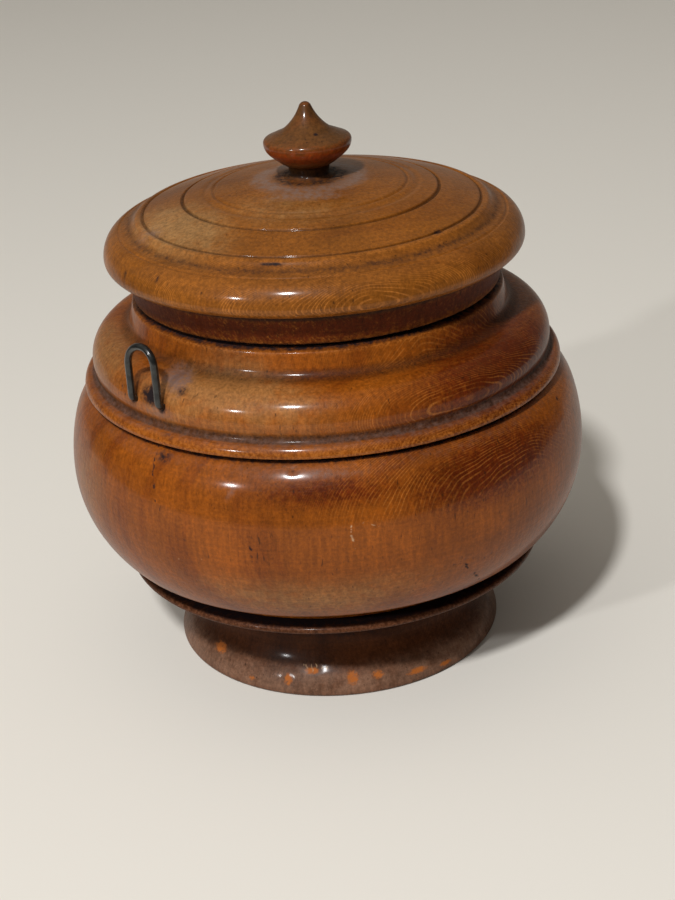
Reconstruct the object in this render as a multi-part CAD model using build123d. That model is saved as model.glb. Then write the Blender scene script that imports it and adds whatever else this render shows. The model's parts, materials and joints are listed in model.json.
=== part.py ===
from build123d import *
import os
from math import radians, sin

# A turned wooden canister: a round bowl on a foot, a shoulder ring with the
# mouth, and a lift-off lid with a knob. One wire loop is let into the shoulder.
# Units are millimetres. Z is the turning axis, and Z = 0 is the table.
# An outline is a half section of (radius, height) points in the XZ plane.

# Overall sizes
BELLY_RADIUS = 60.0
BELLY_HEIGHT = 48.6
MOUTH_TOP = 87.4
TOTAL_HEIGHT = 128.7

# Foot
FOOT_RADIUS = 39.0
FOOT_EDGE_HEIGHT = 0.9
FOOT_BEVEL = 0.5
FOOT_FLARE = (36.2, 5.9)
FOOT_FLARE_SLOPE = -0.25
STEM_RADIUS = 33.0
STEM_HEIGHT = 13.8
STEM_TOP = (45.0, 21.4)
RING_UNDERSIDE = 22.0
FOOT_RING_RADIUS = 49.4
FOOT_RING_HEIGHT = 23.7
FOOT_RING_THICKNESS = 1.7
FOOT_JOINT_HEIGHT = 25.0
FOOT_JOINT_RADIUS = 46.0
FOOT_TENON_RADIUS = 16.0
FOOT_TENON_LENGTH = 5.0

# Bowl
WALL = 5.6
BELLY_EDGE = (52.5, 29.4)
RECESS_TOP = (48.0, 28.7)
RECESS_FOOT_HEIGHT = 26.7
BELLY_SHOULDER = (58.2, 60.5)
BOWL_TOP_RADIUS = 53.7
BOWL_TOP = 67.0
FLOOR_HEIGHT = 33.0
FLOOR_FILLET = 6.0
REBATE_INNER_RADIUS = 48.0
REBATE_OUTER_RADIUS = 50.6
REBATE_HEIGHT = 3.6
REBATE_EASE = 1.2

# Shoulder ring
SLIT_HEIGHT = 1.1
SLIT_INNER_RADIUS = 51.8
FLANGE_RADIUS = 55.1
FLANGE_ROUND = 0.25
FLANGE_TOP = (54.0, 70.5)
COVE_MIDDLE = (52.65, 71.1)
BULGE_FOOT = (52.4, 72.3)
BULGE_RADIUS = 52.7
BULGE_HEIGHT = 74.3
BULGE_ROUND = 6.7
NECK_FOOT = (43.1, 83.4)
LIP_RADIUS = 42.3
LIP_OUTER_HEIGHT = 86.6
SEAT_OUTER_RADIUS = 39.6
BORE_RADIUS = 37.4
BORE_FOOT = 80.0

# Lid
SPIGOT_CLEARANCE = 0.3
SPIGOT_DEPTH = 7.4
SPIGOT_WALL = 3.6
COLLAR_FOOT = (41.7, 88.2)
COLLAR_TOP = (43.2, 94.7)
RIM_UNDERSIDE = (46.2, 95.6)
RIM_RADIUS = 47.5
RIM_HEIGHT = 97.6
RIM_TOP = (43.6, 103.3)
BEAD_OUTER_RADIUS = 40.0
BEAD_INNER_RADIUS = 38.2
BEAD_DROP = 0.75
BEAD_RISE = 0.35
COVE_DEPTH = 0.45
DOME_ROUND = 116.0
DOME_APEX = 112.3
KNOB_SEAT_HEIGHT = 112.1
LID_HOLLOW_TOP = 104.0
LID_HOLLOW_SIDE = 92.0
# Each incised ring: its radius, and the radius and height above the wood of the round-nosed tool
RING_CUTS = [(21.8, 0.4, 0.15), (24.4, 3.0, 2.85), (28.8, 0.45, 0.0), (38.0, 0.4, 0.08)]
RIM_CUT = (43.6, 0.45, 0.15)

# Knob
KNOB_TENON_RADIUS = 3.4
KNOB_TENON_LENGTH = 6.0
KNOB_BASE_RADIUS = 6.0
KNOB_NECK = (4.5, 113.5)
KNOB_SAUCER_FOOT = (4.6, 114.6)
KNOB_SAUCER_SIDE = (8.9, 117.8)
KNOB_DISC = (9.8, 120.0)
KNOB_DISC_TOP = (9.3, 120.9)
KNOB_FLANK_FOOT = (5.6, 122.5)
KNOB_FLANK_SLOPE = 0.7
KNOB_TIP_RADIUS = 1.35
KNOB_TIP_DROP = 0.9

# Wire loop
WIRE_DIAMETER = 1.6
LOOP_HALF_WIDTH = 4.3
LOOP_TOP = 88.6
LOOP_TOP_SHIFT = 1.0
LOOP_STANDOFF = 53.5
LOOP_LEG_HEIGHT = 75.5
LOOP_BEND = 1.3
LOOP_LEG_END = 48.2
LOOP_ANGLE = 45.4


def revolved(lines):
    """Turn a closed outline in the XZ plane about the Z axis."""
    return revolve(make_face(lines), Axis.Z, 360)


def line_through(*points):
    """Straight runs through (radius, height) points."""
    return Polyline(*[(r, 0, z) for r, z in points])


def arc_through(start, middle, end):
    """An arc through three (radius, height) points."""
    return ThreePointArc(*[(r, 0, z) for r, z in (start, middle, end)])


def arc_leaving(start, end, direction):
    """An arc from start to end that leaves along a (radius, height) direction."""
    (r0, z0), (r1, z1), (dr, dz) = start, end, direction
    return TangentArc((r0, 0, z0), (r1, 0, z1), tangent=(dr, 0, dz))


def dome_height(radius, apex=DOME_APEX, round_radius=DOME_ROUND):
    """Height of the lid's dome at a radius."""
    return apex - round_radius + (round_radius**2 - radius**2) ** 0.5


def ring_cut(radius, height, tool_radius, tool_rise):
    """The ring that a round-nosed tool takes out of the turning lid."""
    return Pos(0, 0, height + tool_rise) * Torus(radius, tool_radius)


def make_foot():
    """The standing disc, the stem and the thin ring under the belly, with a round tenon on top."""
    edge_top = (FOOT_RADIUS, FOOT_EDGE_HEIGHT)
    ring_low = (FOOT_RING_RADIUS - FOOT_RING_THICKNESS / 2, FOOT_RING_HEIGHT - FOOT_RING_THICKNESS / 2)
    ring_high = (FOOT_RING_RADIUS - FOOT_RING_THICKNESS / 2, FOOT_RING_HEIGHT + FOOT_RING_THICKNESS / 2)
    stem = (STEM_RADIUS, STEM_HEIGHT)
    tenon_top = FOOT_JOINT_HEIGHT + FOOT_TENON_LENGTH
    outline = [
        line_through((0, 0), (FOOT_RADIUS - FOOT_BEVEL, 0), (FOOT_RADIUS, FOOT_BEVEL), edge_top),
        arc_leaving(edge_top, FOOT_FLARE, (FOOT_FLARE_SLOPE, 1)),
        arc_leaving(stem, FOOT_FLARE, (0, -1)),
        arc_leaving(stem, STEM_TOP, (0, 1)),
        line_through(STEM_TOP, (FOOT_JOINT_RADIUS, RING_UNDERSIDE), ring_low),
        arc_through(ring_low, (FOOT_RING_RADIUS, FOOT_RING_HEIGHT), ring_high),
        line_through(
            ring_high,
            (FOOT_JOINT_RADIUS, FOOT_JOINT_HEIGHT),
            (FOOT_TENON_RADIUS, FOOT_JOINT_HEIGHT),
            (FOOT_TENON_RADIUS, tenon_top),
            (0, tenon_top),
            (0, 0),
        ),
    ]
    return revolved(outline)


def make_bowl():
    """The belly, with a socket for the foot's tenon and a rebated rim for the shoulder ring."""
    belly = (BELLY_RADIUS, BELLY_HEIGHT)
    inner_belly = (BELLY_RADIUS - WALL, BELLY_HEIGHT)
    recess_foot = (FOOT_JOINT_RADIUS, RECESS_FOOT_HEIGHT)
    rim_outer = (BOWL_TOP_RADIUS, BOWL_TOP)
    belly_side = arc_leaving(belly, BELLY_SHOULDER, (0, 1))
    side_end = belly_side % 1
    rebate_top = BOWL_TOP + REBATE_HEIGHT
    floor_edge = (BELLY_EDGE[0] - WALL, FLOOR_HEIGHT)
    outline = [
        line_through((0, FOOT_JOINT_HEIGHT), (FOOT_JOINT_RADIUS, FOOT_JOINT_HEIGHT), recess_foot),
        arc_leaving(recess_foot, RECESS_TOP, (0, 1)),
        line_through(RECESS_TOP, BELLY_EDGE),
        arc_leaving(belly, BELLY_EDGE, (0, -1)),
        belly_side,
        arc_leaving(BELLY_SHOULDER, rim_outer, (side_end.X, side_end.Z)),
        line_through(
            rim_outer,
            (REBATE_OUTER_RADIUS, BOWL_TOP),
            (REBATE_OUTER_RADIUS, rebate_top),
            (REBATE_INNER_RADIUS, rebate_top),
            (REBATE_INNER_RADIUS, BOWL_TOP),
        ),
        arc_leaving(inner_belly, (REBATE_INNER_RADIUS, BOWL_TOP), (0, 1)),
        arc_leaving(inner_belly, floor_edge, (0, -1)),
        line_through(floor_edge, (0, FLOOR_HEIGHT), (0, FOOT_JOINT_HEIGHT)),
    ]
    bowl = revolved(outline)
    inner_corner = bowl.edges().filter_by(GeomType.CIRCLE).sort_by(
        lambda edge: abs(edge.radius - floor_edge[0]) + abs(edge.center().Z - FLOOR_HEIGHT)
    )[0]
    bowl = fillet(inner_corner, FLOOR_FILLET)
    socket = Pos(0, 0, FOOT_JOINT_HEIGHT) * Cylinder(
        FOOT_TENON_RADIUS, FOOT_TENON_LENGTH, align=(Align.CENTER, Align.CENTER, Align.MIN)
    )
    return bowl - socket


def make_wire_loop():
    """A hairpin of round wire, with both legs bent square into the wood."""
    corner = LOOP_BEND * (1 - sin(radians(45)))
    left_round = LOOP_HALF_WIDTH + LOOP_TOP_SHIFT
    right_round = LOOP_HALF_WIDTH - LOOP_TOP_SHIFT
    top = (LOOP_STANDOFF, LOOP_TOP_SHIFT, LOOP_TOP)

    def leg(side, leg_top):
        """One leg, from inside the wood to the start of its quarter of the arch."""
        end = (LOOP_LEG_END, side, LOOP_LEG_HEIGHT)
        bend_start = (LOOP_STANDOFF - LOOP_BEND, side, LOOP_LEG_HEIGHT)
        bend_middle = (LOOP_STANDOFF - corner, side, LOOP_LEG_HEIGHT + corner)
        bend_end = (LOOP_STANDOFF, side, LOOP_LEG_HEIGHT + LOOP_BEND)
        return [
            Line(end, bend_start),
            ThreePointArc(bend_start, bend_middle, bend_end),
            Line(bend_end, (LOOP_STANDOFF, side, leg_top)),
        ]

    left_leg = leg(-LOOP_HALF_WIDTH, LOOP_TOP - left_round)
    right_leg = leg(LOOP_HALF_WIDTH, LOOP_TOP - right_round)
    left_quarter = TangentArc(left_leg[-1] @ 1, top, tangent=(0, 0, 1))
    right_quarter = TangentArc(right_leg[-1] @ 1, top, tangent=(0, 0, 1))
    path = Wire(left_leg + [left_quarter, right_quarter] + right_leg)
    start = Plane(origin=left_leg[0] @ 0, z_dir=(1, 0, 0))
    wire = sweep(start * Circle(WIRE_DIAMETER / 2), path)
    # The loop faces the front left: the front is -Y, and LOOP_ANGLE is counted from it.
    return Rot(0, 0, -90 - LOOP_ANGLE) * wire


def make_shoulder_ring(wire_loop):
    """Flange, cove, bulge, neck and mouth in one ring, drilled for the wire's legs."""
    slit_top = BOWL_TOP + SLIT_HEIGHT
    flange_low = (FLANGE_RADIUS - FLANGE_ROUND, slit_top)
    flange_edge = (FLANGE_RADIUS, slit_top + FLANGE_ROUND)
    bulge = (BULGE_RADIUS, BULGE_HEIGHT)
    bulge_centre_radius = BULGE_RADIUS - BULGE_ROUND
    bulge_top = (bulge_centre_radius, BULGE_HEIGHT + BULGE_ROUND)
    rebate_top = BOWL_TOP + REBATE_HEIGHT
    lip = (LIP_RADIUS, LIP_OUTER_HEIGHT)
    inner_shoulder = (BULGE_RADIUS - WALL, BULGE_HEIGHT)
    outline = [
        line_through(
            (REBATE_OUTER_RADIUS, BOWL_TOP),
            (SLIT_INNER_RADIUS, BOWL_TOP),
            (SLIT_INNER_RADIUS, slit_top),
            flange_low,
        ),
        arc_leaving(flange_edge, flange_low, (0, -1)),
        arc_leaving(flange_edge, FLANGE_TOP, (0, 1)),
        arc_through(FLANGE_TOP, COVE_MIDDLE, BULGE_FOOT),
        arc_leaving(bulge, BULGE_FOOT, (0, -1)),
        arc_leaving(bulge, bulge_top, (0, 1)),
        arc_leaving(bulge_top, NECK_FOOT, (-1, 0)),
        line_through(
            NECK_FOOT,
            lip,
            (SEAT_OUTER_RADIUS, MOUTH_TOP),
            (BORE_RADIUS, MOUTH_TOP),
            (BORE_RADIUS, BORE_FOOT),
        ),
        arc_leaving(inner_shoulder, (BORE_RADIUS, BORE_FOOT), (0, 1)),
        line_through(
            inner_shoulder,
            (inner_shoulder[0], rebate_top + REBATE_EASE),
            (REBATE_INNER_RADIUS, rebate_top),
            (REBATE_OUTER_RADIUS, rebate_top),
            (REBATE_OUTER_RADIUS, BOWL_TOP),
        ),
    ]
    return revolved(outline) - wire_loop


def make_lid():
    """The dome with its incised rings, the rolled rim, the collar and the spigot."""
    spigot_radius = BORE_RADIUS - SPIGOT_CLEARANCE
    spigot_foot = MOUTH_TOP - SPIGOT_DEPTH
    hollow_radius = spigot_radius - SPIGOT_WALL
    seat_above_centre = KNOB_SEAT_HEIGHT - DOME_APEX + DOME_ROUND
    knob_seat = ((DOME_ROUND**2 - seat_above_centre**2) ** 0.5, KNOB_SEAT_HEIGHT)
    bead_inner = (BEAD_INNER_RADIUS, dome_height(BEAD_INNER_RADIUS))
    bead_outer = (BEAD_OUTER_RADIUS, bead_inner[1] - BEAD_DROP)
    bead_mid = ((bead_inner[0] + bead_outer[0]) / 2, (bead_inner[1] + bead_outer[1]) / 2 + BEAD_RISE)
    cove_mid = ((bead_outer[0] + RIM_TOP[0]) / 2, (bead_outer[1] + RIM_TOP[1]) / 2 - COVE_DEPTH)
    rim = (RIM_RADIUS, RIM_HEIGHT)
    dome_mid_radius = (knob_seat[0] + bead_inner[0]) / 2
    outline = [
        line_through((0, LID_HOLLOW_TOP), (0, KNOB_SEAT_HEIGHT), knob_seat),
        arc_through(knob_seat, (dome_mid_radius, dome_height(dome_mid_radius)), bead_inner),
        arc_through(bead_inner, bead_mid, bead_outer),
        arc_through(bead_outer, cove_mid, RIM_TOP),
        arc_leaving(rim, RIM_TOP, (0, 1)),
        arc_leaving(rim, RIM_UNDERSIDE, (0, -1)),
        line_through(
            RIM_UNDERSIDE,
            COLLAR_TOP,
            COLLAR_FOOT,
            (SEAT_OUTER_RADIUS, MOUTH_TOP),
            (spigot_radius, MOUTH_TOP),
            (spigot_radius, spigot_foot),
            (hollow_radius, spigot_foot),
            (hollow_radius, LID_HOLLOW_SIDE),
        ),
        arc_leaving((0, LID_HOLLOW_TOP), (hollow_radius, LID_HOLLOW_SIDE), (1, 0)),
    ]
    lid = revolved(outline)
    for radius, tool_radius, tool_rise in RING_CUTS:
        lid -= ring_cut(radius, dome_height(radius), tool_radius, tool_rise)
    lid -= ring_cut(RIM_CUT[0], RIM_TOP[1], RIM_CUT[1], RIM_CUT[2])
    socket = Pos(0, 0, KNOB_SEAT_HEIGHT - KNOB_TENON_LENGTH) * Cylinder(
        KNOB_TENON_RADIUS, KNOB_TENON_LENGTH, align=(Align.CENTER, Align.CENTER, Align.MIN)
    )
    return lid - socket


def make_knob():
    """A round saucer with a pointed tip, on a narrow neck and a round tenon."""
    tenon_foot = KNOB_SEAT_HEIGHT - KNOB_TENON_LENGTH
    base = (KNOB_BASE_RADIUS, KNOB_SEAT_HEIGHT)
    disc_side = arc_leaving(KNOB_DISC, KNOB_SAUCER_SIDE, (0, -1))
    side_end = disc_side % 1
    flank_top = (KNOB_TIP_RADIUS, TOTAL_HEIGHT - KNOB_TIP_DROP)
    tip = (0, TOTAL_HEIGHT)
    outline = [
        line_through(
            (0, tenon_foot),
            (KNOB_TENON_RADIUS, tenon_foot),
            (KNOB_TENON_RADIUS, KNOB_SEAT_HEIGHT),
            base,
        ),
        arc_leaving(KNOB_NECK, base, (0, -1)),
        line_through(KNOB_NECK, KNOB_SAUCER_FOOT),
        arc_leaving(KNOB_SAUCER_SIDE, KNOB_SAUCER_FOOT, (side_end.X, side_end.Z)),
        disc_side,
        arc_leaving(KNOB_DISC, KNOB_DISC_TOP, (0, 1)),
        line_through(KNOB_DISC_TOP, KNOB_FLANK_FOOT),
        arc_leaving(KNOB_FLANK_FOOT, flank_top, (-1, KNOB_FLANK_SLOPE)),
        arc_leaving(tip, flank_top, (1, 0)),
        line_through(tip, (0, tenon_foot)),
    ]
    return revolved(outline)


wire_loop = make_wire_loop()
parts = {
    "foot": make_foot(),
    "bowl": make_bowl(),
    "shoulder_ring": make_shoulder_ring(wire_loop),
    "wire_loop": wire_loop,
    "lid": make_lid(),
    "knob": make_knob(),
}

os.makedirs("parts", exist_ok=True)
for name, part in parts.items():
    export_step(part, f"parts/{name}.step")
    print(name, round(part.volume, 1), part.is_valid)
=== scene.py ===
# %% [markdown]
# A small lidded canister of turned wood: a round bowl on a foot, a shoulder ring with
# one wire loop, and a lid with a pointed knob. The CAD model fixes every size and place.
# This lesson gives it its finish: each wooden piece is turned again on a fine grid that
# can carry dents, chips and stains, and then gets a material of growth rings and old wax.

import json
import math

import bmesh
import bpy
import numpy as np
from mathutils import Matrix, Vector, noise
from mathutils.geometry import interpolate_bezier

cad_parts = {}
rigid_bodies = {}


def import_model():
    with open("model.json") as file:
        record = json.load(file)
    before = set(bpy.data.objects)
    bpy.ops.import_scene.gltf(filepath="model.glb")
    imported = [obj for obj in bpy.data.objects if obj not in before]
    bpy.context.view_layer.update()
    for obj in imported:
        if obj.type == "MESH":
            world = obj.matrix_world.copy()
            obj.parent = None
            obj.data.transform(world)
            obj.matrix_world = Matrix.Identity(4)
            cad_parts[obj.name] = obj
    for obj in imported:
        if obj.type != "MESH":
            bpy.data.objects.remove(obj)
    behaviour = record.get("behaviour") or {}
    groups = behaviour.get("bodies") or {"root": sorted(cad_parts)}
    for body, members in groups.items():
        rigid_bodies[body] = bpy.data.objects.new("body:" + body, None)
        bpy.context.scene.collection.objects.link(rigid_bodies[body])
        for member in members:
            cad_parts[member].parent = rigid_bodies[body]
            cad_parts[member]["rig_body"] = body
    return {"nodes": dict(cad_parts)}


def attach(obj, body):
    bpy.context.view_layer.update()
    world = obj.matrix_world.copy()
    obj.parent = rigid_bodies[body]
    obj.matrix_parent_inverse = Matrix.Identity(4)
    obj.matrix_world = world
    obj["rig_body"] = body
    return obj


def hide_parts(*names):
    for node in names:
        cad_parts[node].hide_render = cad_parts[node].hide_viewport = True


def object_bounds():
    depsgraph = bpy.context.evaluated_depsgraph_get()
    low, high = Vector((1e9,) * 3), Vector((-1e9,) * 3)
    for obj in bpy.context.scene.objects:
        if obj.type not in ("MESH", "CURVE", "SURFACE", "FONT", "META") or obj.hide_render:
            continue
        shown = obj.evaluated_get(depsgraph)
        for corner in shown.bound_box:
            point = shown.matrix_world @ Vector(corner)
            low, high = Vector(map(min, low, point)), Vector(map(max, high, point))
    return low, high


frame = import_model()
cad_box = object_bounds()
MM = 0.001
print("CAD nodes:", ", ".join(sorted(frame["nodes"])))

# %% [markdown]
# The photograph was taken from a little above the lid, with the camera tilted down by 25
# degrees and turned a little on its own axis. The camera's place was worked out from the
# round edges of the canister, which show as ellipses. Blender's camera looks along its own
# -Z, so a tilt of 90 degrees about X makes it look at the horizon.

# %% The camera
CAMERA_PLACE = (0.0, -372.91 * MM, 218.26 * MM)
CAMERA_TILT_DOWN = 25.016
CAMERA_YAW = 0.319
CAMERA_ROLL = -3.842
LENS = 68.79

camera = bpy.data.objects.new("camera", bpy.data.cameras.new("camera"))
bpy.context.scene.collection.objects.link(camera)
bpy.context.scene.camera = camera
camera.data.lens = LENS
camera.data.sensor_width = 36
camera.data.clip_start = 0.01
camera.matrix_world = (
    Matrix.Translation(CAMERA_PLACE)
    @ Matrix.Rotation(math.radians(-CAMERA_YAW), 4, "Z")
    @ Matrix.Rotation(math.radians(90 - CAMERA_TILT_DOWN), 4, "X")
    @ Matrix.Rotation(math.radians(CAMERA_ROLL), 4, "Z")
)
print("camera at", CAMERA_PLACE, "with a", LENS, "mm lens")

# %% [markdown]
# Shader nodes are wordy in Python, so one small class makes them in short lines. Each
# method adds one kind of node and returns its output, which the next node takes as input.


# %% A helper for materials
class Recipe:
    """Short ways to add nodes to a material or a world. An input is a value or another node's output."""

    def __init__(self, owner, shader="Principled BSDF"):
        owner.use_nodes = True
        self.owner = owner
        self.tree = owner.node_tree
        self.shader = self.tree.nodes[shader]

    def set(self, sockets, key, value):
        if isinstance(value, bpy.types.NodeSocket):
            self.tree.links.new(value, sockets[key])
        else:
            sockets[key].default_value = value

    def node(self, kind, inputs, **settings):
        made = self.tree.nodes.new("ShaderNode" + kind)
        for key, value in settings.items():
            setattr(made, key, value)
        for key, value in inputs.items():
            self.set(made.inputs, key, value)
        return made

    def shade(self, **inputs):
        """Sets the shader's own sockets: Base_Color stands for Base Color."""
        for key, value in inputs.items():
            self.set(self.shader.inputs, key.replace("_", " "), value)

    def math(self, operation, *values):
        return self.node("Math", dict(enumerate(values)), operation=operation).outputs[0]

    def vector(self, operation, a, b=(0.0, 0.0, 0.0)):
        made = self.node("VectorMath", {0: a, 1: b}, operation=operation)
        return made.outputs["Value" if operation in ("LENGTH", "DOT_PRODUCT") else "Vector"]

    def scaled(self, a, factor):
        return self.node("VectorMath", {0: a, "Scale": factor}, operation="SCALE").outputs[0]

    def noise(self, place, scale, detail=2.0, roughness=0.5):
        inputs = {"Vector": place, "Scale": scale, "Detail": detail, "Roughness": roughness}
        return self.node("TexNoise", inputs).outputs[0]

    def grain(self, place, per_mm, detail=2.0, roughness=0.5):
        """Noise with its own scale along each axis, so that it can be drawn out along the fibres."""
        return self.noise(self.vector("MULTIPLY", place, per_mm), 1.0, detail, roughness)

    def wander(self, place, scale, amount):
        """A vector that drifts by up to about half of amount each way."""
        made = self.node("TexNoise", {"Vector": place, "Scale": scale, "Detail": 1.0})
        centred = self.vector("SUBTRACT", made.outputs[1], (0.5, 0.5, 0.5))
        return self.scaled(centred, amount)

    def step(self, value, low, high, start=0.0, end=1.0):
        """A smooth step from start to end as value goes from low to high."""
        inputs = {0: value, 1: low, 2: high, 3: start, 4: end}
        return self.node("MapRange", inputs, interpolation_type="SMOOTHSTEP").outputs[0]

    def between(self, share, start, end):
        """A straight blend of two numbers."""
        return self.math("MULTIPLY_ADD", share, end - start, start)

    def mix(self, factor, a, b, blend="MIX"):
        inputs = {0: factor, 6: a, 7: b}
        return self.node("Mix", inputs, data_type="RGBA", blend_type=blend).outputs[2]

    def layer(self, name):
        """A float attribute of the mesh."""
        return self.node("Attribute", {}, attribute_name=name).outputs["Fac"]

    def place_in_mm(self):
        """Where the shaded point is in the frame, in millimetres."""
        return self.scaled(self.node("TexCoord", {}).outputs["Object"], 1 / MM)

    def bump(self, height_mm, strength=1.0):
        inputs = {"Height": height_mm, "Distance": MM, "Strength": strength}
        return self.node("Bump", inputs).outputs[0]


def rgb(red, green, blue):
    """A colour with its alpha, from linear values."""
    return (red, green, blue, 1.0)


# %% [markdown]
# The canister stands on a plain pale floor that sweeps up into a backdrop well behind it.
# It could be a flat plane, but the sweep also gives the polished lid something pale to
# reflect. One edge is extruded for the floor, spun for the bend, and extruded again.

# %% Floor and backdrop
# In metres
FLOOR_FRONT = -4.0
FLOOR_BACK = 2.2
FLOOR_HALF_WIDTH = 5.0
SWEEP_RADIUS = 1.2
BACKDROP_TOP = 3.5
SWEEP_STEPS = 24
FLOOR_COLOUR = rgb(0.74, 0.71, 0.65)


def make_floor():
    bm = bmesh.new()
    left = bm.verts.new((-FLOOR_HALF_WIDTH, FLOOR_FRONT, 0))
    right = bm.verts.new((FLOOR_HALF_WIDTH, FLOOR_FRONT, 0))
    edge = [bm.edges.new((left, right))]
    run = bmesh.ops.extrude_edge_only(bm, edges=edge)["geom"]
    far = [v for v in run if isinstance(v, bmesh.types.BMVert)]
    bmesh.ops.translate(bm, verts=far, vec=(0, FLOOR_BACK - FLOOR_FRONT, 0))
    bend = bmesh.ops.spin(
        bm,
        geom=far + [e for e in run if isinstance(e, bmesh.types.BMEdge)],
        cent=(0, FLOOR_BACK, SWEEP_RADIUS),
        axis=(1, 0, 0),
        angle=math.radians(90),
        steps=SWEEP_STEPS,
    )["geom_last"]
    wall_edge = [e for e in bend if isinstance(e, bmesh.types.BMEdge)]
    wall = bmesh.ops.extrude_edge_only(bm, edges=wall_edge)["geom"]
    top = [v for v in wall if isinstance(v, bmesh.types.BMVert)]
    bmesh.ops.translate(bm, verts=top, vec=(0, 0, BACKDROP_TOP - SWEEP_RADIUS))
    bmesh.ops.recalc_face_normals(bm, faces=bm.faces)
    mesh = bpy.data.meshes.new("floor")
    bm.to_mesh(mesh)
    bm.free()
    mesh.shade_smooth()
    floor = bpy.data.objects.new("floor", mesh)
    bpy.context.scene.collection.objects.link(floor)
    return floor


floor = make_floor()
pale = Recipe(bpy.data.materials.new("pale_floor"))
pale.shade(Base_Color=FLOOR_COLOUR, Roughness=0.9, Specular_IOR_Level=0.2)
floor.data.materials.append(pale.owner)
print("floor with", len(floor.data.polygons), "faces")

# %% [markdown]
# Two small lamps on the left light the canister: every rounded edge shows a pair of
# highlights, and the shadow is crisp. One large soft lamp would be kinder to the wood, but
# would lose both. Each lamp is placed by the direction that it shines from, and its power
# follows from how much it adds to a white surface that faces it, where 1 is full white.

# %% Lamps
LAMP_DISTANCE = 1.6
LAMPS = {
    # name: (degrees left of the front, degrees above the floor, diameter in metres, share)
    "high_lamp": (20.0, 49.0, 0.12, 0.76),
    "side_lamp": (45.0, 25.0, 0.08, 0.26),
}


def make_lamp(name, left, above, diameter, share):
    data = bpy.data.lights.new(name, "AREA")
    data.shape = "DISK"
    data.size = diameter
    data.energy = share * (math.pi * LAMP_DISTANCE) ** 2
    lamp = bpy.data.objects.new(name, data)
    bpy.context.scene.collection.objects.link(lamp)
    side, rise = math.radians(left), math.radians(above)
    towards = Vector((-math.sin(side) * math.cos(rise), -math.cos(side) * math.cos(rise), math.sin(rise)))
    centre = (cad_box[0] + cad_box[1]) / 2
    lamp.location = centre + towards * LAMP_DISTANCE
    lamp.rotation_mode = "QUATERNION"
    lamp.rotation_quaternion = towards.to_track_quat("Z", "Y")
    print(name, "gives", round(data.energy, 1), "W")


for name, settings in LAMPS.items():
    make_lamp(name, *settings)

# %% [markdown]
# The world fills the shadows. Polished wood mirrors it, so it is a room and not an even
# white: pale overhead and at the back, and dark low in front, where the viewer stands. The
# deep colour of old polish is seen only where it mirrors something dark, so reflections
# see the room at half its strength.

# %% The room
ROOM_COLOUR = rgb(1.0, 0.95, 0.88)
ROOM_DARK, ROOM_PALE = 0.05, 0.46
DARK_BELOW, PALE_ABOVE = -0.15, 1.0
BACK_OVER_FRONT = 0.35
LEFT_OVER_RIGHT = 0.55
BACKGROUND = 0.62
MIRRORED_SHARE = 0.5

room = Recipe(bpy.data.worlds.new("room"), "Background")
direction = room.node("TexCoord", {}).outputs["Generated"]
height = room.vector("DOT_PRODUCT", direction, (0.0, BACK_OVER_FRONT, 1.0))
side = room.vector("DOT_PRODUCT", direction, (-LEFT_OVER_RIGHT, 0.0, 0.0))
level = room.step(height, DARK_BELOW, PALE_ABOVE, ROOM_DARK, ROOM_PALE)
level = room.math("MULTIPLY", level, room.math("ADD", side, 1.0))
ray = room.node("LightPath", {}).outputs
mirrored = room.between(ray["Is Glossy Ray"], 1.0, MIRRORED_SHARE)
level = room.math("MULTIPLY", level, mirrored)
seen = room.math("MULTIPLY", ray["Is Camera Ray"], BACKGROUND)
room.shade(Color=ROOM_COLOUR, Strength=room.math("MAXIMUM", level, seen))
bpy.context.scene.world = room.owner
bpy.context.scene.view_settings.view_transform = "Standard"
print("the room goes from", ROOM_DARK, "to", ROOM_PALE)

# %% [markdown]
# For the same reason a photographer stands black card in front of polished wood. Here it is
# a low curved screen, which only reflections can see: it throws no shadow and hides nothing.

# %% Black card
CARD_DISTANCE = 0.36
CARD_HEIGHT = 0.17
CARD_REACH = math.radians(120)
CARD_STEPS = 36


def make_card():
    bm = bmesh.new()
    foot = bm.verts.new((0, -CARD_DISTANCE, 0))
    top = bm.verts.new((0, -CARD_DISTANCE, CARD_HEIGHT))
    post = [foot, top, bm.edges.new((foot, top))]
    bmesh.ops.rotate(bm, verts=[foot, top], cent=(0, 0, 0), matrix=Matrix.Rotation(-CARD_REACH, 3, "Z"))
    bmesh.ops.spin(bm, geom=post, cent=(0, 0, 0), axis=(0, 0, 1), angle=2 * CARD_REACH, steps=CARD_STEPS)
    mesh = bpy.data.meshes.new("black_card")
    bm.to_mesh(mesh)
    bm.free()
    card = bpy.data.objects.new("black_card", mesh)
    bpy.context.scene.collection.objects.link(card)
    card.visible_camera = card.visible_diffuse = card.visible_shadow = False
    return card


card = make_card()
black = Recipe(bpy.data.materials.new("black_card"))
black.shade(Base_Color=rgb(0.02, 0.02, 0.02), Roughness=0.9)
card.data.materials.append(black.owner)
print("card with", len(card.data.polygons), "faces")

# %% [markdown]
# A turner's work is one outline spun about one axis, and so is its model. The CAD solids
# close along a seam at +X, where the edges of their meshes lie exactly on the true
# outline. So a copy of each solid is merged and cut down to these edges, the outline is
# made finer along smooth curves, its sharp corners are worn round, and it is spun again.


# %% Read the outline of a turned piece
# Points closer than this are merged, in metres
MERGE = 1e-6
# How far off the seam a point of the outline may lie, in metres
SEAM = 2e-7


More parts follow.
